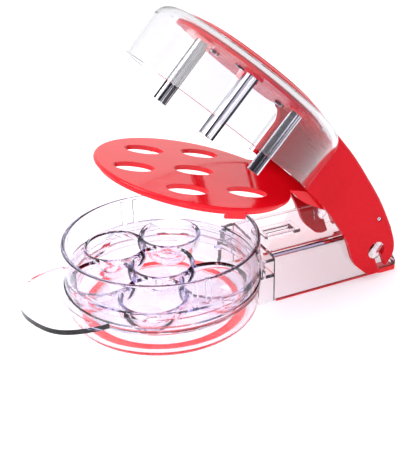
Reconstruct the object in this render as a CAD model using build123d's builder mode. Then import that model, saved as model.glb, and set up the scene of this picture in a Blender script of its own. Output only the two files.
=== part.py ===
from build123d import *
from math import cos, radians, sin, sqrt
import os

os.makedirs("parts", exist_ok=True)

# Six-cherry pitter.  Everything is modelled with the lever closed, in a working
# frame whose origin is the centre of the cherry tray on the table: +X runs
# towards the hinge, +Z is up.  Each finished piece is then set in its place with
# the lever standing open.

# ---------------------------------------------------------------- dimensions
# placing
row_shift_x = -29.675         # working frame -> object frame
open_angle = 43.15             # how far the lever stands open
plate_angle = 14.73            # tilt of the stripper plate at that opening

# cherry pattern: a hexagon with its rear place left empty, plus the centre
pitch_x = 33.67
pitch_y = 29.05
cherry_places = [
    (0, 0),
    (-pitch_x, 0),
    (-pitch_x / 2, pitch_y),
    (-pitch_x / 2, -pitch_y),
    (pitch_x / 2, pitch_y),
    (pitch_x / 2, -pitch_y),
]

# pit bowl
bowl_r = 52.3
bowl_foot_r = 52.0
bowl_wall = 2.2
bowl_floor_z = 0.8
bowl_rim_z = 17.6
ring_in, ring_out, ring_h = 40.6, 45.4, 2.4

# rear base
seam_x = 56.0
base_half_w = 24.64
base_top_z = 29.05
base_rear_x = 137.0
base_wall = 2.2
collar_top_z = 27.5

# hinge
hinge_x, hinge_z = 119.1, 18.9
stub_r = 5.3
stub_flat = 4.4
stub_angle = 48.0
cheek_hole_r = 5.36
slot_w = 4.9

# cherry tray
tray_r = 53.0
tray_wall = 2.2
tray_rim_z = 44.1
deck_top_z = 28.4
deck_t = 2.4
tray_flange_r = 53.6
flange_top_z = 20.6
tab_reach = 78.2

# splash shield
shield_r = 58.0
shield_wall = 2.0
shield_rim_z = 21.4
shield_top_z = 53.5
shield_round = 8.5
shield_cut_half = 30.0

# lever
cheek_out, cheek_in = 29.6, 26.2
skin_t = 2.2
disc_r = 46.5
disc_top_z = 55.2
pad_r = 39.5

# pins and carrier
pin_r = 3.3
pin_tip_z = 11.85
carrier_r = 46.0
carrier_z0, carrier_z1 = 49.5, 51.3
socket_z = 47.9

# stripper plate
plate_r = 52.5
plate_z0, plate_z1 = 44.4, 46.1
skirt_r, skirt_z = 50.4, 42.3
plate_hole_a, plate_hole_b = 11.2, 7.1
pivot_x, pivot_z = 106.0, 33.7
pivot_r = 1.5
ear_r = 2.9


# ---------------------------------------------------------------- poses
def turned(angle):
    """Turn about the hinge line, front end up."""
    return Location((hinge_x, 0, hinge_z)) * Location((0, 0, 0), (0, angle, 0)) * Location((-hinge_x, 0, -hinge_z))


stand = Location((row_shift_x, 0, 0))
lever_pose = stand * turned(open_angle)
t = radians(open_angle)
pivot_open_x = hinge_x + (pivot_x - hinge_x) * cos(t) + (pivot_z - hinge_z) * sin(t)
pivot_open_z = hinge_z - (pivot_x - hinge_x) * sin(t) + (pivot_z - hinge_z) * cos(t)
plate_pose = (
    stand
    * Location((pivot_open_x, 0, pivot_open_z))
    * Location((0, 0, 0), (0, plate_angle, 0))
    * Location((-pivot_x, 0, -pivot_z))
)


# ================================================================= BASE BODY
# ---- pit bowl: round dish that catches the stones, with the collar that
#      carries the rear base
with BuildPart() as bowl_c:
    with BuildSketch(Plane.XZ):
        with BuildLine():
            Polyline(
                (0, bowl_floor_z),
                (bowl_foot_r, bowl_floor_z),
                (bowl_r, bowl_rim_z),
                (bowl_r - bowl_wall, bowl_rim_z),
                (bowl_foot_r - bowl_wall, bowl_floor_z + 2.6),
                (0, bowl_floor_z + 2.6),
                close=True,
            )
        make_face()
    revolve(axis=Axis.Z)
    # rounded foot outside and inside
    fillet(bowl_c.edges().filter_by(GeomType.CIRCLE).sort_by(SortBy.RADIUS).filter_by(
        lambda e: abs(e.center().Z - bowl_floor_z) < 0.01), 5.5)
    fillet(bowl_c.edges().filter_by(GeomType.CIRCLE).filter_by(
        lambda e: abs(e.center().Z - bowl_floor_z - 2.6) < 0.01), 3.6)
    # side walls, roof and arc-shaped front wall of the collar
    with BuildSketch(Plane.XY.offset(bowl_floor_z)):
        with Locations((seam_x - 10, 0)):
            Rectangle(20, 2 * base_half_w)
        Circle(bowl_foot_r - 0.6, mode=Mode.SUBTRACT)
        with Locations((seam_x - 10, 0)):
            Rectangle(24, 2 * (base_half_w - base_wall), mode=Mode.SUBTRACT)
    extrude(amount=bowl_rim_z - bowl_floor_z)
    with BuildSketch(Plane.XY.offset(bowl_rim_z - 2.2)):
        with Locations((seam_x - 10, 0)):
            Rectangle(20, 2 * base_half_w)
        Circle(bowl_r - 0.4, mode=Mode.SUBTRACT)
    extrude(amount=2.2)
    with BuildSketch(Plane.XY.offset(bowl_rim_z)):
        with Locations((seam_x - 10, 0)):
            Rectangle(20, 2 * base_half_w)
        Circle(54.0, mode=Mode.SUBTRACT)
    extrude(amount=collar_top_z - bowl_rim_z)
    with BuildSketch(Plane.XY.offset(bowl_rim_z - 0.01)):
        with Locations((seam_x - 10, 0)):
            Rectangle(24, 2 * (base_half_w - base_wall))
        Circle(55.6, mode=Mode.SUBTRACT)
    extrude(amount=collar_top_z - bowl_rim_z - 2.2, mode=Mode.SUBTRACT)
    # groove for the non-slip ring
    with BuildSketch(Plane.XY.offset(bowl_floor_z)):
        Circle(ring_out + 0.1)
        Circle(ring_in - 0.1, mode=Mode.SUBTRACT)
    extrude(amount=ring_h - bowl_floor_z, mode=Mode.SUBTRACT)

# ---- red non-slip ring under the bowl
with BuildPart() as ring_c:
    with BuildSketch():
        Circle(ring_out)
        Circle(ring_in, mode=Mode.SUBTRACT)
    extrude(amount=ring_h)
    fillet(ring_c.faces().sort_by(Axis.Z)[0].edges(), 0.9)

# ---- rear base: hollow box, open underneath, that carries the hinge stubs
nose = 12.3
nose_x = hinge_x + sqrt(nose ** 2 - (base_top_z - hinge_z) ** 2)
a_end = radians(10)
with BuildPart() as rear_c:
    with BuildSketch(Plane.XZ.offset(base_half_w)):
        with BuildLine():
            Polyline((nose_x, base_top_z), (seam_x, base_top_z), (seam_x, bowl_floor_z), (base_rear_x, bowl_floor_z),
                     (base_rear_x, 5.5), (133.6, 12.0), (hinge_x + nose * cos(a_end), hinge_z + nose * sin(a_end)))
            RadiusArc((hinge_x + nose * cos(a_end), hinge_z + nose * sin(a_end)), (nose_x, base_top_z), -nose)
        make_face()
    extrude(amount=-2 * base_half_w)
    fillet(rear_c.edges().filter_by(Axis.X).filter_by(lambda e: abs(e.center().Z - base_top_z) < 0.01), 4.2)
    # hollow inside, open at the bottom and towards the collar
    inner_nose = nose - base_wall
    with BuildSketch(Plane.XZ.offset(base_half_w - base_wall)):
        with BuildLine():
            Polyline((123.2, base_top_z - base_wall), (seam_x - 1, base_top_z - base_wall), (seam_x - 1, bowl_floor_z - 1),
                     (base_rear_x - base_wall, bowl_floor_z - 1), (base_rear_x - base_wall, 4.9), (131.5, 11.0),
                     (hinge_x + inner_nose * cos(a_end), hinge_z + inner_nose * sin(a_end)), (127.6, 23.6),
                     (123.2, base_top_z - base_wall))
        make_face()
    extrude(amount=-2 * (base_half_w - base_wall), mode=Mode.SUBTRACT)
    # raised rectangular frame with a through slot in the deck
    with BuildSketch(Plane.XY.offset(base_top_z - 0.4)):
        with Locations((71.6, 0)):
            RectangleRounded(23.5, 12.6, 1.6)
    extrude(amount=2.2)
    fillet(rear_c.edges().filter_by(lambda e: abs(e.center().Z - base_top_z - 1.8) < 0.01), 0.5)
    with BuildSketch(Plane.XY.offset(base_top_z + 2)):
        with Locations((71.6, 0)):
            RectangleRounded(18.6, 7.6, 1.0)
    extrude(amount=-6, mode=Mode.SUBTRACT)
    # shoulder line along both sides of the deck
    with BuildSketch(Plane.XY.offset(base_top_z)):
        with Locations((90, base_half_w - 6.0), (90, -(base_half_w - 6.0))):
            Rectangle(66, 0.8)
    extrude(amount=0.35)
    # round bosses and flattened hinge stubs on both sides
    for side in (1, -1):
        with BuildSketch(Plane(origin=(hinge_x, side * (base_half_w - 0.4), hinge_z), x_dir=(1, 0, 0), z_dir=(0, side, 0))):
            Circle(8.2)
        extrude(amount=1.6)
        with BuildSketch(Plane(origin=(hinge_x, side * (base_half_w - 0.4), hinge_z), x_dir=(1, 0, 0), z_dir=(0, side, 0))):
            Circle(stub_r)
            Rectangle(2 * stub_r + 1, stub_flat, rotation=(-stub_angle if side > 0 else stub_angle), mode=Mode.INTERSECT)
        extrude(amount=cheek_out - base_half_w + 0.1)
    # room for the rubber feet along the lower edges
    for side in (1, -1):
        with BuildSketch(Plane.XY.offset(bowl_floor_z - 1)):
            with Locations((131.5, side * 21.0)):
                Rectangle(14, 9)
        extrude(amount=1 + 2.0, mode=Mode.SUBTRACT)

# ---- rubber foot strips under the rear base
with BuildPart() as foot_c:
    with BuildSketch(Plane.XY):
        with Locations(((seam_x + 1 + 127.0) / 2, base_half_w - 1.35)):
            RectangleRounded(127.0 - seam_x - 1, 2.5, 0.8)
    extrude(amount=bowl_floor_z)
    with BuildSketch(Plane.XY):
        with Locations((131.1, 21.3)):
            RectangleRounded(12.9, 8.2, 2.2)
    extrude(amount=bowl_floor_z + 2.0)
    fillet(foot_c.edges().group_by(Axis.Z)[-1], 0.5)
with BuildPart() as foot_m:
    add(mirror(foot_c.part, about=Plane.XZ))

# ---- cherry tray: wall, deck, six cups, spigot and grip tab
with BuildPart() as cup_outer:
    with BuildSketch(Plane.XZ):
        with BuildLine():
            Line((0, 11.2), (6.8, 11.2))
            ThreePointArc((6.8, 11.2), (14.4, 16.0), (17.6, 25.4))
            Polyline((17.6, 25.4), (17.6, 26.4), (0, 26.4), (0, 11.2))
        make_face()
    revolve(axis=Axis.Z)
with BuildPart() as cup_inner:
    with BuildSketch(Plane.XZ):
        with BuildLine():
            Line((0, 13.2), (5.6, 13.2))
            ThreePointArc((5.6, 13.2), (12.3, 17.3), (15.2, 25.0))
            ThreePointArc((15.2, 25.0), (15.75, 27.3), (17.1, deck_top_z))
            Polyline((17.1, deck_top_z), (17.1, deck_top_z + 1), (0, deck_top_z + 1), (0, 13.2))
        make_face()
    revolve(axis=Axis.Z)
    # opening in the cup floor with four short relief slits
    with BuildSketch(Plane.XY.offset(10)):
        Circle(4.9)
        with PolarLocations(0, 2):
            Rectangle(14.6, 1.5)
    extrude(amount=4)

with BuildPart() as tray_c:
    with BuildSketch(Plane.XZ):
        with BuildLine():
            Polyline(
                (0, deck_top_z - deck_t),
                (47.9, deck_top_z - deck_t),
                (47.9, 14.6),
                (49.6, 14.6),
                (49.6, 24.2),
                (51.4, 24.2),
                (51.4, bowl_rim_z),
                (tray_flange_r, bowl_rim_z),
                (tray_flange_r, flange_top_z),
                (tray_r - 0.1, flange_top_z + 0.6),
                (tray_r, tray_rim_z),
                (tray_r - tray_wall, tray_rim_z),
                (tray_r - tray_wall - 0.1, deck_top_z),
                (0, deck_top_z),
                close=True,
            )
        make_face()
    revolve(axis=Axis.Z)
    fillet(tray_c.edges().filter_by(GeomType.CIRCLE).filter_by(lambda e: abs(e.center().Z - tray_rim_z) < 0.01), 0.9)
    # grip tab at the front, level with the flange, with a shallow pocket
    with BuildSketch(Plane.XY.offset(bowl_rim_z)):
        with BuildLine():
            Spline((-42, 33.0), (-57, 31.4), (-67.2, 26.4), (-74.6, 15.2), (-tab_reach, 0),
                   (-74.6, -15.2), (-67.2, -26.4), (-57, -31.4), (-42, -33.0))
            Line((-42, -33.0), (-42, 33.0))
        make_face()
        Circle(tray_flange_r - 1.2, mode=Mode.SUBTRACT)
    extrude(amount=flange_top_z - bowl_rim_z)
    with BuildSketch(Plane.XY.offset(flange_top_z)):
        with BuildLine():
            Spline((-46, 28.2), (-57, 26.6), (-64.4, 22.2), (-70.4, 13.2), (-tab_reach + 5, 0),
                   (-70.4, -13.2), (-64.4, -22.2), (-57, -26.6), (-46, -28.2))
            Line((-46, -28.2), (-46, 28.2))
        make_face()
        Circle(tray_flange_r + 3.4, mode=Mode.SUBTRACT)
    extrude(amount=-0.6, mode=Mode.SUBTRACT)
    # key ribs inside the wall, left and right
    for side in (1, -1):
        with BuildSketch(Plane.XY.offset(deck_top_z - 0.2)):
            with Locations((-3.2, side * 50.5), (4.0, side * 50.5)):
                Rectangle(2.6, 2.6)
            Circle(tray_r - 0.8, mode=Mode.INTERSECT)
        extrude(amount=tray_rim_z - deck_top_z - 0.9)
    # cups
    with Locations(*cherry_places):
        add(cup_outer.part)
    with Locations(*cherry_places):
        add(cup_inner.part, mode=Mode.SUBTRACT)
    # drain hole in the empty rear place
    with Locations((pitch_x, 0, deck_top_z)):
        Hole(radius=2.2, depth=4)

# ================================================================ LEVER BODY
screw_places = [(25, 0), (-pitch_x / 2, 14.5), (-pitch_x / 2, -14.5)]
cheek_top = [(40.6, 54.75), (52, 53.1), (65.4, 51.0), (82.6, 46.9), (99.7, 42.1), (110.0, 38.2), (118.0, 34.9)]
slot_dir = -26.0
with BuildPart() as lever_c:
    # side cheeks
    for y0 in (cheek_in, -cheek_out):
        with BuildSketch(Plane(origin=(0, y0, 0), x_dir=(1, 0, 0), z_dir=(0, -1, 0))):
            with BuildLine():
                top = Spline(*cheek_top)
                Polyline((118.0, 34.9), (118.6, 33.6), (121.6, 31.8))
                Spline((121.6, 31.8), (126.4, 28.6), (130.4, 24.2), (131.9, 18.9), (131.4, 13.2), (129.4, 8.0),
                       (125.6, 5.4), (120.4, 4.9))
                Spline((120.4, 4.9), (115.0, 4.95), (109.9, 6.2), (101.0, 10.9), (86.5, 16.0), (70.3, 19.5), (50.6, shield_rim_z))
                Line((50.6, shield_rim_z), (50.6, 41.0))
                RadiusArc((50.6, 41.0), (40.6, 51.0), -10)
                Line((40.6, 51.0), (40.6, 54.75))
            make_face()
        extrude(amount=-(cheek_out - cheek_in))
    # top skin between the cheeks
    with BuildSketch(Plane(origin=(0, -cheek_out, 0), x_dir=(1, 0, 0), z_dir=(0, -1, 0))):
        with BuildLine():
            Spline(*cheek_top)
            Line((118.0, 34.9), (117.1, 34.9 - skin_t))
            Spline((117.1, 34.9 - skin_t), (109.1, 36.1), (99.0, 39.9), (82.0, 44.7), (65.0, 48.6), (52, 50.7), (40.6, 52.2))
            Line((40.6, 52.2), (40.6, 54.75))
        make_face()
    extrude(amount=-2 * cheek_out)
    # soften the two long outer edges
    outer = lever_c.edges().filter_by(lambda e: abs(abs(e.center().Y) - cheek_out) < 0.01 and e.length > 60 and e.center().Z > 40)
    fillet(outer, 2.6)
    # round top over the shield: rounded shoulder, with a recess for the pad
    with BuildSketch(Plane.XZ):
        with BuildLine():
            Polyline((0, disc_top_z), (0, shield_top_z), (disc_r, shield_top_z), (disc_r, shield_top_z + 0.7))
            ThreePointArc((disc_r, shield_top_z + 0.7), (43.4, 55.45), (pad_r + 0.1, 56.1))
            Polyline((pad_r + 0.1, 56.1), (pad_r + 0.1, disc_top_z), (0, disc_top_z))
        make_face()
    revolve(axis=Axis.Z)
    # bosses that take the carrier screws, hidden inside the pad
    with BuildSketch(Plane.XY.offset(disc_top_z - 0.2)):
        with Locations(*screw_places):
            Circle(3.0)
    extrude(amount=2.4)
    # keyholes: round bearing with a slot leading out to the rear edge
    with BuildSketch(Plane(origin=(hinge_x, 0, hinge_z), x_dir=(1, 0, 0), z_dir=(0, -1, 0))):
        Circle(cheek_hole_r)
        with BuildLine(mode=Mode.PRIVATE) as slot_edge:
            Line((0, 0), (20 * cos(radians(slot_dir)), 20 * sin(radians(slot_dir))))
        with Locations((10 * cos(radians(slot_dir)), 10 * sin(radians(slot_dir)))):
            Rectangle(20, slot_w, rotation=slot_dir)
    extrude(amount=40, both=True, mode=Mode.SUBTRACT)
    # bores for the plate's pivot rod
    with BuildSketch(Plane(origin=(pivot_x, 0, pivot_z), x_dir=(1, 0, 0), z_dir=(0, -1, 0))):
        Circle(pivot_r)
    extrude(amount=40, both=True, mode=Mode.SUBTRACT)
    # pilot holes for the carrier screws
    with Locations(*[(x, y, shield_top_z - 0.1) for x, y in screw_places]):
        Cylinder(radius=1.5, height=3.2, align=(Align.CENTER, Align.CENTER, Align.MIN), mode=Mode.SUBTRACT)

# ---- soft ridged palm pad in the recess of the round top
crown_r, crown_z, crown_top = 37.2, 56.9, 58.9
crown_R = (crown_r ** 2 + (crown_top - crown_z) ** 2) / (2 * (crown_top - crown_z))
with BuildPart() as pad_c:
    with BuildSketch(Plane.XZ):
        with BuildLine():
            Polyline((0, disc_top_z), (pad_r, disc_top_z), (pad_r, 55.9), (pad_r - 0.5, 56.35), (38.4, 56.4), (38.1, 55.95),
                     (37.5, 55.95), (crown_r, crown_z))
            ThreePointArc((crown_r, crown_z), (crown_r / 2, crown_top - crown_R + sqrt(crown_R ** 2 - crown_r ** 2 / 4)),
                          (0, crown_top))
            Line((0, crown_top), (0, disc_top_z))
        make_face()
    revolve(axis=Axis.Z)
    # two shallow concentric grooves in the crown
    with BuildSketch(Plane.XZ):
        for r_groove, z_groove in ((29.0, 57.9), (20.0, 58.45)):
            with Locations((r_groove, z_groove)):
                Circle(0.55)
    revolve(axis=Axis.Z, mode=Mode.SUBTRACT)
    # clearance for the screw bosses
    with BuildSketch(Plane.XY.offset(disc_top_z)):
        with Locations(*screw_places):
            Circle(3.1)
    extrude(amount=2.3, mode=Mode.SUBTRACT)

# ---- pin carrier, screwed up against the round top
with BuildPart() as carrier_c:
    with BuildSketch(Plane.XY.offset(carrier_z0)):
        Circle(carrier_r)
        with Locations((36 + 20, 0)):
            Rectangle(40, 100, mode=Mode.SUBTRACT)
    extrude(amount=carrier_z1 - carrier_z0)
    with BuildSketch(Plane.XY.offset(carrier_z1)):
        Circle(42.8)
        with Locations((36 + 20, 0)):
            Rectangle(40, 100, mode=Mode.SUBTRACT)
    extrude(amount=shield_top_z - carrier_z1)
    # sockets round the pins
    with BuildSketch(Plane.XY.offset(socket_z)):
        with Locations(*cherry_places):
            Circle(5.4)
    extrude(amount=carrier_z0 - socket_z + 0.1)
    fillet(carrier_c.edges().filter_by(GeomType.CIRCLE).filter_by(lambda e: abs(e.center().Z - socket_z) < 0.01), 0.6)
    with BuildSketch(Plane.XY.offset(47)):
        with Locations(*cherry_places):
            Circle(pin_r + 0.03)
        with Locations(*screw_places):
            Circle(1.5)
    extrude(amount=10, mode=Mode.SUBTRACT)
    with BuildSketch(Plane.XY.offset(51.9)):
        with Locations(*cherry_places):
            Circle(4.6)
    extrude(amount=4, mode=Mode.SUBTRACT)

# ---- carrier screw: round head with a cross recess
with BuildPart() as screw_c:
    with BuildSketch(Plane.XY.offset(48.0)):
        Circle(2.9)
    extrude(amount=carrier_z0 - 48.0)
    fillet(screw_c.faces().sort_by(Axis.Z)[0].edges(), 0.6)
    with BuildSketch(Plane.XY.offset(carrier_z0)):
        Circle(1.5)
    extrude(amount=6.9)
    with BuildSketch(Plane.XY.offset(47.9)):
        Rectangle(3.4, 0.8)
        Rectangle(0.8, 3.4)
    extrude(amount=0.9, mode=Mode.SUBTRACT)

# ---- pitting pin: fluted rod with a forked crown and a seated head
with BuildPart() as vee_c:
    for k in range(3):
        a = radians(60 * k)
        with BuildSketch(Plane(origin=(0, 0, pin_tip_z), x_dir=(-sin(a), cos(a), 0), z_dir=(cos(a), sin(a), 0))):
            with BuildLine():
                Polyline((-1.15, 0.2), (1.15, 0.2), (0, -2.6), close=True)
            make_face()
        extrude(amount=6, both=True)
with BuildPart() as pin_c:
    with BuildSketch(Plane.XY.offset(pin_tip_z)):
        Circle(pin_r)
        with PolarLocations(pin_r + 0.55, 6):
            Circle(1.35, mode=Mode.SUBTRACT)
    extrude(amount=48.6 - pin_tip_z)
    with BuildSketch(Plane.XY.offset(48.6)):
        Circle(pin_r)
    extrude(amount=shield_top_z - 48.6)
    with BuildSketch(Plane.XY.offset(51.9)):
        Circle(4.5)
    extrude(amount=shield_top_z - 51.9)
    # a coned bore and three crossed vee cuts leave six points at the tip
    with Locations((0, 0, pin_tip_z)):
        Cone(bottom_radius=2.2, top_radius=0.3, height=3.4, align=(Align.CENTER, Align.CENTER, Align.MIN), mode=Mode.SUBTRACT)
    add(vee_c.part, mode=Mode.SUBTRACT)

# ---- splash shield: clear drum, open below and at the back for the plate's neck
with BuildPart() as shield_c:
    with BuildSketch(Plane.XZ):
        with BuildLine():
            Line((shield_r, shield_rim_z + 0.3), (shield_r, shield_top_z - shield_round))
            RadiusArc((shield_r, shield_top_z - shield_round), (shield_r - shield_round, shield_top_z), -shield_round)
            Polyline((shield_r - shield_round, shield_top_z), (43.4, shield_top_z), (43.4, shield_top_z - 2.1),
                     (shield_r - shield_round, shield_top_z - 2.1))
            RadiusArc((shield_r - shield_round, shield_top_z - 2.1), (shield_r - shield_wall, shield_top_z - shield_round),
                      shield_round - shield_wall + 0.08)
            Polyline((shield_r - shield_wall, shield_top_z - shield_round), (shield_r - shield_wall, shield_rim_z + 0.3),
                     (shield_r - shield_wall + 0.3, shield_rim_z), (shield_r - 0.3, shield_rim_z), (shield_r, shield_rim_z + 0.3))
        make_face()
    revolve(axis=Axis.Z)
    with BuildSketch(Plane.XY.offset(shield_rim_z - 1)):
        with Locations((70, 0)):
            Rectangle(60, 2 * shield_cut_half)
    extrude(amount=40, mode=Mode.SUBTRACT)

# ---- pivot rod across the cheeks
with BuildPart() as rod_c:
    with BuildSketch(Plane(origin=(pivot_x, 0, pivot_z), x_dir=(1, 0, 0), z_dir=(0, -1, 0))):
        Circle(pivot_r)
    extrude(amount=cheek_out - 0.5, both=True)
    chamfer(rod_c.edges().filter_by(GeomType.CIRCLE), 0.3)

# =============================================================== PLATE BODY
neck_half = 23.6
neck_top = [(44.0, 46.1), (52, 46.05), (60, 45.2), (72, 42.7), (85, 39.9), (96, 37.4), (103.0, 35.6)]
with BuildPart() as plate_c:
    with BuildSketch(Plane.XY.offset(plate_z0)):
        Circle(plate_r)
    extrude(amount=plate_z1 - plate_z0)
    fillet(plate_c.faces().sort_by(Axis.Z)[-1].edges(), 1.3)
    # skirt that drops inside the tray wall, notched for the tray's key ribs
    with BuildSketch(Plane.XY.offset(skirt_z)):
        Circle(skirt_r)
        Circle(skirt_r - 2.2, mode=Mode.SUBTRACT)
        with Locations((0.4, 50), (0.4, -50)):
            Rectangle(12.4, 6, mode=Mode.SUBTRACT)
    extrude(amount=plate_z0 - skirt_z + 0.1)
    # collars under the holes
    with BuildSketch(Plane.XY.offset(plate_z0 - 0.8)):
        with Locations(*cherry_places):
            Ellipse(plate_hole_a + 1.6, plate_hole_b + 1.6)
    extrude(amount=0.9)
    # neck: curved strip with side flanges
    with BuildSketch(Plane(origin=(0, -neck_half, 0), x_dir=(1, 0, 0), z_dir=(0, -1, 0))):
        with BuildLine():
            Spline(*neck_top)
            Line((103.0, 35.6), (102.6, 33.2))
            Spline((102.6, 33.2), (95.4, 35.0), (84.5, 37.5), (71.5, 40.4), (60.5, 43.0), (53.4, 44.35), (44.0, 44.4))
            Line((44.0, 44.4), (44.0, 46.1))
        make_face()
    extrude(amount=-2 * neck_half)
    for y0 in (neck_half - 2.2, -neck_half):
        with BuildSketch(Plane(origin=(0, y0, 0), x_dir=(1, 0, 0), z_dir=(0, -1, 0))):
            with BuildLine():
                Spline(*[(x, z - 0.4) for x, z in neck_top])
                Line((103.0, 35.2), (106.0, pivot_z + 2.4))
                Line((106.0, pivot_z + 2.4), (106.0, pivot_z - 2.6))
                Spline((106.0, pivot_z - 2.6), (98.0, 31.4), (86.0, 33.0), (72.0, 35.5), (60.0, 38.6), (54.0, 40.9), (50.6, 43.0))
                Polyline((50.6, 43.0), (49.2, 44.45), (44.0, 44.45), (44.0, 45.7))
            make_face()
        extrude(amount=-2.2)
    # ears that turn on the rod
    for y0 in (10.0, -neck_half):
        with BuildSketch(Plane(origin=(pivot_x, y0, pivot_z), x_dir=(1, 0, 0), z_dir=(0, -1, 0))):
            Circle(ear_r)
            with Locations((-1.9, 0.3)):
                Rectangle(3.8, 3.2)
        extrude(amount=-(neck_half - 10.0))
    with BuildSketch(Plane(origin=(pivot_x, 0, pivot_z), x_dir=(1, 0, 0), z_dir=(0, -1, 0))):
        Circle(pivot_r + 0.06)
    extrude(amount=40, both=True, mode=Mode.SUBTRACT)
    # stiffening rib along the middle of the neck's underside
    for y in (-7.0, 7.0):
        with BuildSketch(Plane(origin=(0, y - 0.8, 0), x_dir=(1, 0, 0), z_dir=(0, -1, 0))):
            with BuildLine():
                Polyline((55, 44.8), (100, 35.4), (100, 33.4), (84, 36.0), (66, 40.2), (55, 43.4), close=True)
            make_face()
        extrude(amount=-1.6)
    # holes for the pins
    with BuildSketch(Plane.XY.offset(plate_z0 - 3)):
        with Locations(*cherry_places):
            Ellipse(plate_hole_a, plate_hole_b)
    extrude(amount=8, mode=Mode.SUBTRACT)
    # locating tabs below the left and right edges
    for side in (1, -1):
        with BuildSketch(Plane.XY.offset(39.4)):
            with Locations((1.5, side * 47.8)):
                RectangleRounded(11.6, 2.0, 0.6)
        extrude(amount=plate_z0 - 39.4 + 0.1)


# ================================================================ THE PIECES
# set each piece in its place with the lever standing open
with BuildPart() as pit_bowl:
    with Locations(stand):
        add(bowl_c.part)
pit_bowl.part.label = "pit_bowl"
export_step(pit_bowl.part, "parts/pit_bowl.step")

with BuildPart() as nonslip_ring:
    with Locations(stand):
        add(ring_c.part)
nonslip_ring.part.label = "nonslip_ring"
export_step(nonslip_ring.part, "parts/nonslip_ring.step")

with BuildPart() as rear_base:
    with Locations(stand):
        add(rear_c.part)
rear_base.part.label = "rear_base"
export_step(rear_base.part, "parts/rear_base.step")

with BuildPart() as foot_strip_left:
    with Locations(stand):
        add(foot_c.part)
foot_strip_left.part.label = "foot_strip_left"
export_step(foot_strip_left.part, "parts/foot_strip_left.step")

with BuildPart() as foot_strip_right:
    with Locations(stand):
        add(foot_m.part)
foot_strip_right.part.label = "foot_strip_right"
export_step(foot_strip_right.part, "parts/foot_strip_right.step")

with BuildPart() as cherry_tray:
    with Locations(stand):
        add(tray_c.part)
cherry_tray.part.label = "cherry_tray"
export_step(cherry_tray.part, "parts/cherry_tray.step")

with BuildPart() as lever_arm:
    with Locations(lever_pose):
        add(lever_c.part)
lever_arm.part.label = "lever_arm"
export_step(lever_arm.part, "parts/lever_arm.step")

with BuildPart() as palm_pad:
    with Locations(lever_pose):
        add(pad_c.part)
palm_pad.part.label = "palm_pad"
export_step(palm_pad.part, "parts/palm_pad.step")

with BuildPart() as pin_carrier:
    with Locations(lever_pose):
        add(carrier_c.part)
pin_carrier.part.label = "pin_carrier"
export_step(pin_carrier.part, "parts/pin_carrier.step")

screw_names = ["carrier_screw_rear", "carrier_screw_left", "carrier_screw_right"]
for name, (sx, sy) in zip(screw_names, screw_places):
    with BuildPart() as carrier_screw:
        with Locations(lever_pose * Location((sx, sy, 0))):
            add(screw_c.part)
    carrier_screw.part.label = name
    export_step(carrier_screw.part, "parts/" + name + ".step")

with BuildPart() as splash_shield:
    with Locations(lever_pose):
        add(shield_c.part)
splash_shield.part.label = "splash_shield"
export_step(splash_shield.part, "parts/splash_shield.step")

with BuildPart() as pivot_rod:
    with Locations(lever_pose):
        add(rod_c.part)
pivot_rod.part.label = "pivot_rod"
export_step(pivot_rod.part, "parts/pivot_rod.step")

pin_names = ["pin_centre", "pin_front", "pin_front_left", "pin_front_right", "pin_rear_left", "pin_rear_right"]
for name, (px, py) in zip(pin_names, cherry_places):
    with BuildPart() as pitting_pin:
        with Locations(lever_pose * Location((px, py, 0))):
            add(pin_c.part)
    pitting_pin.part.label = name
    export_step(pitting_pin.part, "parts/" + name + ".step")

with BuildPart() as stripper_plate:
    with Locations(plate_pose):
        add(plate_c.part)
stripper_plate.part.label = "stripper_plate"
export_step(stripper_plate.part, "parts/stripper_plate.step")
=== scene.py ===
import math

import bpy
from mathutils import Matrix, Vector


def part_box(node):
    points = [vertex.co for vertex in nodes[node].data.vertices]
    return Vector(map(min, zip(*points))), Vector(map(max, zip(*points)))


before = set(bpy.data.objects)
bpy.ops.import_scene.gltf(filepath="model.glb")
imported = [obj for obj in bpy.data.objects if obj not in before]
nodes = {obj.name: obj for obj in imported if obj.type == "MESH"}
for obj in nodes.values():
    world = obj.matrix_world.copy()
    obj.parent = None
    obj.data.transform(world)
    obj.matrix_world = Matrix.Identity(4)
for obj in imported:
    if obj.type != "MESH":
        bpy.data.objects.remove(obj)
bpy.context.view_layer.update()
scene = bpy.context.scene

# ------------------------------------------------------------------ camera
# camera at the object's three-quarter view; positions in metres in the row frame
MM = 0.001
ring_lo, ring_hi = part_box("nonslip_ring")
TRAY_X = 0.5 * (ring_lo[0] + ring_hi[0])          # middle of the bowl
AZ, EL, ROLL = math.radians(24.13), math.radians(27.27), math.radians(-1.62)
TARGET = Vector((TRAY_X + 24.59 * MM, 1.47 * MM, 42.35 * MM))
DIST = 458.86 * MM
back = Vector((-math.sin(AZ) * math.cos(EL), -math.cos(AZ) * math.cos(EL), math.sin(EL)))
fwd = -back
right = fwd.cross(Vector((0, 0, 1))).normalized()
up = right.cross(fwd)
r2 = right * math.cos(ROLL) + up * math.sin(ROLL)
u2 = -right * math.sin(ROLL) + up * math.cos(ROLL)
cam_data = bpy.data.cameras.new("view_camera")
cam_data.sensor_width = 36.0
cam_data.sensor_fit = "AUTO"
cam_data.lens = 842.41 * 36.0 / 454.0
cam_data.clip_start = 0.01
cam_data.clip_end = 50
cam = bpy.data.objects.new("view_camera", cam_data)
scene.collection.objects.link(cam)
m = Matrix((
    (r2.x, u2.x, back.x, 0),
    (r2.y, u2.y, back.y, 0),
    (r2.z, u2.z, back.z, 0),
    (0, 0, 0, 1),
))
cam.matrix_world = Matrix.Translation(TARGET + back * DIST) @ m
scene.camera = cam

scene.view_settings.view_transform = "Standard"
scene.view_settings.look = "None"
scene.view_settings.exposure = 0.0
scene.cycles.max_bounces = 28
scene.cycles.transmission_bounces = 24
scene.cycles.transparent_max_bounces = 24
scene.cycles.glossy_bounces = 8


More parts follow.
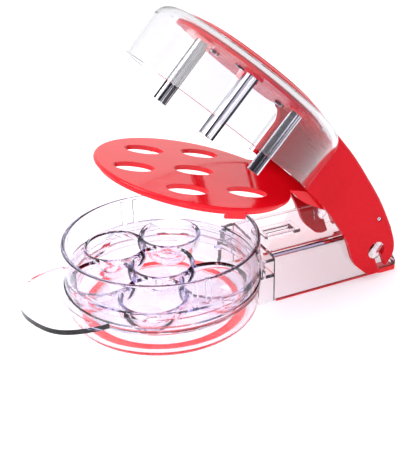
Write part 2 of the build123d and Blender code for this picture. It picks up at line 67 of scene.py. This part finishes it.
# --------------------------------------------------------------- node helpers
def new_mat(name):
    mat = bpy.data.materials.new(name)
    mat.use_nodes = True
    nt = mat.node_tree
    nt.nodes.clear()
    out = nt.nodes.new("ShaderNodeOutputMaterial")
    bsdf = nt.nodes.new("ShaderNodeBsdfPrincipled")
    nt.links.new(bsdf.outputs["BSDF"], out.inputs["Surface"])
    return mat, nt, out, bsdf


def coords(nt, scale=(1, 1, 1)):
    tc = nt.nodes.new("ShaderNodeTexCoord")
    mp = nt.nodes.new("ShaderNodeMapping")
    mp.inputs["Scale"].default_value = scale
    nt.links.new(tc.outputs["Object"], mp.inputs["Vector"])
    return mp.outputs["Vector"]


def noise(nt, vec, scale, detail=3.0, rough=0.5):
    n = nt.nodes.new("ShaderNodeTexNoise")
    n.inputs["Scale"].default_value = scale
    n.inputs["Detail"].default_value = detail
    n.inputs["Roughness"].default_value = rough
    nt.links.new(vec, n.inputs["Vector"])
    return n.outputs["Fac"]


def remap(nt, fac, lo, hi, a=0.3, b=0.7):
    r = nt.nodes.new("ShaderNodeMapRange")
    r.inputs["From Min"].default_value = a
    r.inputs["From Max"].default_value = b
    r.inputs["To Min"].default_value = lo
    r.inputs["To Max"].default_value = hi
    nt.links.new(fac, r.inputs["Value"])
    return r.outputs["Result"]


def ramp(nt, fac, stops):
    r = nt.nodes.new("ShaderNodeValToRGB")
    cr = r.color_ramp
    while len(cr.elements) > 1:
        cr.elements.remove(cr.elements[-1])
    cr.elements[0].position, cr.elements[0].color = stops[0][0], (*stops[0][1], 1)
    for p, c in stops[1:]:
        e = cr.elements.new(p)
        e.color = (*c, 1)
    nt.links.new(fac, r.inputs["Fac"])
    return r.outputs["Color"]


def bump(nt, height, strength, distance, normal=None):
    b = nt.nodes.new("ShaderNodeBump")
    b.inputs["Strength"].default_value = strength
    b.inputs["Distance"].default_value = distance
    nt.links.new(height, b.inputs["Height"])
    if normal is not None:
        nt.links.new(normal, b.inputs["Normal"])
    return b.outputs["Normal"]


def bevel(nt, radius, samples=4):
    b = nt.nodes.new("ShaderNodeBevel")
    b.samples = samples
    b.inputs["Radius"].default_value = radius
    return b.outputs["Normal"]


# ------------------------------------------------------------------ materials
def red_plastic(name, base, dark, rough_lo, rough_hi, coat=0.6, wave=0.00006, spec=0.5):
    """Glossy injection-moulded red: faint colour drift, slow surface waviness and a fine grain in its gloss."""
    mat, nt, out, p = new_mat(name)
    v = coords(nt)
    drift = noise(nt, v, 22, 3)
    nt.links.new(ramp(nt, drift, [(0.3, dark), (0.7, base)]), p.inputs["Base Color"])
    nt.links.new(remap(nt, noise(nt, v, 160, 4, 0.6), rough_lo, rough_hi), p.inputs["Roughness"])
    n0 = bevel(nt, 0.0004)
    n1 = bump(nt, noise(nt, v, 35, 2), 0.35, wave, n0)
    n2 = bump(nt, noise(nt, v, 2600, 2), 0.05, 0.00002, n1)
    nt.links.new(n2, p.inputs["Normal"])
    p.inputs["IOR"].default_value = 1.5
    p.inputs["Specular IOR Level"].default_value = spec
    p.inputs["Coat Weight"].default_value = coat
    p.inputs["Coat Roughness"].default_value = 0.05
    return mat


def clear_plastic(name, tint, density, absorb, shade=(0.9, 0.89, 0.94), rough=(0.008, 0.025), ior=1.5, wave=0.00003):
    """Clear moulded plastic: near-white surface, absorption that tints long paths, slight flow waviness."""
    mat, nt, out, p = new_mat(name)
    v = coords(nt)
    p.inputs["Base Color"].default_value = (*tint, 1)
    p.inputs["Transmission Weight"].default_value = 1.0
    p.inputs["IOR"].default_value = ior
    nt.links.new(remap(nt, noise(nt, v, 90, 3), *rough), p.inputs["Roughness"])
    nt.links.new(bump(nt, noise(nt, v, 26, 2), 0.25, wave), p.inputs["Normal"])
    lp = nt.nodes.new("ShaderNodeLightPath")
    tr = nt.nodes.new("ShaderNodeBsdfTransparent")
    tr.inputs["Color"].default_value = (*shade, 1)
    mix = nt.nodes.new("ShaderNodeMixShader")
    nt.links.new(lp.outputs["Is Shadow Ray"], mix.inputs["Fac"])
    nt.links.new(p.outputs["BSDF"], mix.inputs[1])
    nt.links.new(tr.outputs["BSDF"], mix.inputs[2])
    nt.links.new(mix.outputs["Shader"], out.inputs["Surface"])
    vol = nt.nodes.new("ShaderNodeVolumeAbsorption")
    vol.inputs["Color"].default_value = (*absorb, 1)
    vol.inputs["Density"].default_value = density
    nt.links.new(vol.outputs["Volume"], out.inputs["Volume"])
    return mat


def steel(name):
    """Polished stainless rod: bright metal with near-black and bright streaks painted into its colour as painted
    reflections, and slight cloudiness in its polish.
    """
    mat, nt, out, p = new_mat(name)
    v = coords(nt, (1, 1, 1))
    p.inputs["Metallic"].default_value = 1.0
    # painted reflections: dark and bright streaks painted into the colour along the rod, which leans with the open
    # lever
    tc = nt.nodes.new("ShaderNodeTexCoord")
    lean = nt.nodes.new("ShaderNodeVectorRotate")
    lean.rotation_type = "Y_AXIS"
    lean.inputs["Angle"].default_value = math.radians(-43.15)
    nt.links.new(tc.outputs["Object"], lean.inputs["Vector"])
    mp = nt.nodes.new("ShaderNodeMapping")
    mp.inputs["Scale"].default_value = (1, 1, 0.01)
    nt.links.new(lean.outputs["Vector"], mp.inputs["Vector"])
    painted_reflection_streaks = noise(nt, mp.outputs["Vector"], 520, 2)
    # near-black, grey and bright bands in the base colour are painted reflections on the rod
    nt.links.new(ramp(nt, painted_reflection_streaks, [(0.47, (0.02, 0.02, 0.024)), (0.54, (0.16, 0.155, 0.17)), (0.61, (0.80, 0.79, 0.82))]), p.inputs["Base Color"])
    nt.links.new(remap(nt, noise(nt, v, 900, 4, 0.6), 0.05, 0.14), p.inputs["Roughness"])
    n0 = bevel(nt, 0.00012)
    nt.links.new(bump(nt, noise(nt, v, 1500, 2), 0.06, 0.00002, n0), p.inputs["Normal"])
    return mat


def red_rubber(name, painted_glow=0.0):
    """Soft red non-slip rubber: matt, fine pebble, slightly dusty on the high spots."""
    mat, nt, out, p = new_mat(name)
    v = coords(nt)
    nt.links.new(ramp(nt, noise(nt, v, 240, 4), [(0.3, (0.86, 0.008, 0.012)), (0.7, (0.96, 0.016, 0.022))]), p.inputs["Base Color"])
    nt.links.new(remap(nt, noise(nt, v, 700, 3), 0.5, 0.72), p.inputs["Roughness"])
    # painted light: a red emission that makes the ring glow brighter in the shade under the bowl
    p.inputs["Emission Color"].default_value = (0.95, 0.03, 0.04, 1)
    p.inputs["Emission Strength"].default_value = painted_glow
    n0 = bevel(nt, 0.0003)
    nt.links.new(bump(nt, noise(nt, v, 3200, 2), 0.25, 0.00004, n0), p.inputs["Normal"])
    return mat


RED = red_plastic("red_gloss", (0.74, 0.004, 0.014), (0.66, 0.003, 0.011), 0.24, 0.34, coat=0.0, spec=0.12)
# the plate's copy of the lever's red plastic gets a lighter red: painted light on its upward-facing top
RED_PLATE_PAINTED_LIT = red_plastic("red_plate_painted_lighter", (0.94, 0.005, 0.018), (0.86, 0.004, 0.012), 0.07, 0.14, coat=0.05, spec=0.36)
RED_PAD = red_plastic("red_satin_pad", (0.76, 0.004, 0.014), (0.68, 0.003, 0.011), 0.20, 0.32, coat=0.3)
CLEAR_TRAY = clear_plastic("clear_tray", (0.960, 0.952, 0.982), 24, (0.56, 0.50, 0.86), shade=(0.98, 0.978, 0.985))
CLEAR_BASE = clear_plastic("clear_base", (0.978, 0.948, 0.962), 20, (0.72, 0.56, 0.68), shade=(0.98, 0.97, 0.975), rough=(0.006, 0.020))
CLEAR_SHIELD = clear_plastic("clear_shield", (0.930, 0.928, 0.948), 20, (0.50, 0.48, 0.60), shade=(0.97, 0.97, 0.98))
STEEL = steel("polished_steel")
# the ring gets a painted glow (emission 0.25) that lifts it out of the shade under the bowl
RUBBER = red_rubber("red_rubber", 0.25)
RUBBER_FEET = red_rubber("red_rubber_feet")

assign = {
    "pit_bowl": CLEAR_BASE,
    "rear_base": CLEAR_BASE,
    "cherry_tray": CLEAR_TRAY,
    "splash_shield": CLEAR_SHIELD,
    "nonslip_ring": RUBBER,
    "foot_strip_left": RUBBER_FEET,
    "foot_strip_right": RUBBER_FEET,
    "lever_arm": RED,
    "pin_carrier": RED,
    "palm_pad": RED_PAD,
    "stripper_plate": RED_PLATE_PAINTED_LIT,
    "pivot_rod": STEEL,
}
for n in nodes:
    if (n.startswith("pin_") and n != "pin_carrier") or n.startswith("carrier_screw"):
        assign[n] = STEEL
for n, mat in assign.items():
    for s in nodes[n].material_slots:
        s.material = mat

# ---------------------------------------------------------------- light, floor
# white sweep behind and above the object, darker room in front of it
world = bpy.data.worlds.new("studio")
scene.world = world
world.use_nodes = True
wn = world.node_tree
wn.nodes.clear()
wout = wn.nodes.new("ShaderNodeOutputWorld")
bg = wn.nodes.new("ShaderNodeBackground")
wn.links.new(bg.outputs["Background"], wout.inputs["Surface"])
tc = wn.nodes.new("ShaderNodeTexCoord")


def wdot(direction):
    d = wn.nodes.new("ShaderNodeVectorMath")
    d.operation = "DOT_PRODUCT"
    d.inputs[1].default_value = direction
    wn.links.new(tc.outputs["Generated"], d.inputs[0])
    return d.outputs["Value"]


def wsmooth(value, a, b, lo, hi):
    r = wn.nodes.new("ShaderNodeMapRange")
    r.interpolation_type = "SMOOTHSTEP"
    r.inputs["From Min"].default_value = a
    r.inputs["From Max"].default_value = b
    r.inputs["To Min"].default_value = lo
    r.inputs["To Max"].default_value = hi
    wn.links.new(value, r.inputs["Value"])
    return r.outputs["Result"]


behind = wsmooth(wdot((0.41, 0.91, 0.0)), -0.30, 0.30, 0.05, 1.02)
above = wsmooth(wdot((0.0, 0.0, 1.0)), 0.62, 0.80, 0.0, 1.0)
mx = wn.nodes.new("ShaderNodeMath")
mx.operation = "MAXIMUM"
wn.links.new(behind, mx.inputs[0])
wn.links.new(above, mx.inputs[1])
shade_mix = ramp(wn, mx.outputs["Value"], [(0.0, (0.46, 0.42, 0.62)), (1.0, (1.0, 1.0, 1.0))])
wn.links.new(shade_mix, bg.inputs["Color"])
bg.inputs["Strength"].default_value = 1.0


def floor():
    me = bpy.data.meshes.new("studio_floor")
    r = 4.0
    me.from_pydata([(-r, -r, 0), (r, -r, 0), (r, r, 0), (-r, r, 0)], [], [(0, 1, 2, 3)])
    o = bpy.data.objects.new("studio_floor", me)
    scene.collection.objects.link(o)
    mat, nt, out, p = new_mat("floor_white")
    p.inputs["Base Color"].default_value = (0.93, 0.93, 0.935, 1)
    p.inputs["Roughness"].default_value = 0.9
    p.inputs["Specular IOR Level"].default_value = 0.1
    p.inputs["Emission Color"].default_value = (1, 1, 1, 1)
    p.inputs["Emission Strength"].default_value = 0.30
    me.materials.append(mat)
    return o


floor()


def softbox(name, loc, aim, size, power, size_y=None):
    d = bpy.data.lights.new(name, "AREA")
    d.shape = "RECTANGLE"
    d.size = size
    d.size_y = size_y or size
    d.energy = power
    o = bpy.data.objects.new(name, d)
    scene.collection.objects.link(o)
    o.location = loc
    o.rotation_euler = (Vector(aim) - Vector(loc)).to_track_quat("-Z", "Y").to_euler()
    return o


softbox("key", (-0.85, 0.10, 1.10), (0, 0, 0.05), 0.8, 9.0)
softbox("front_strip", (-0.62, -1.15, 0.50), (0, 0, 0.07), 0.10, 1.6, 0.9)
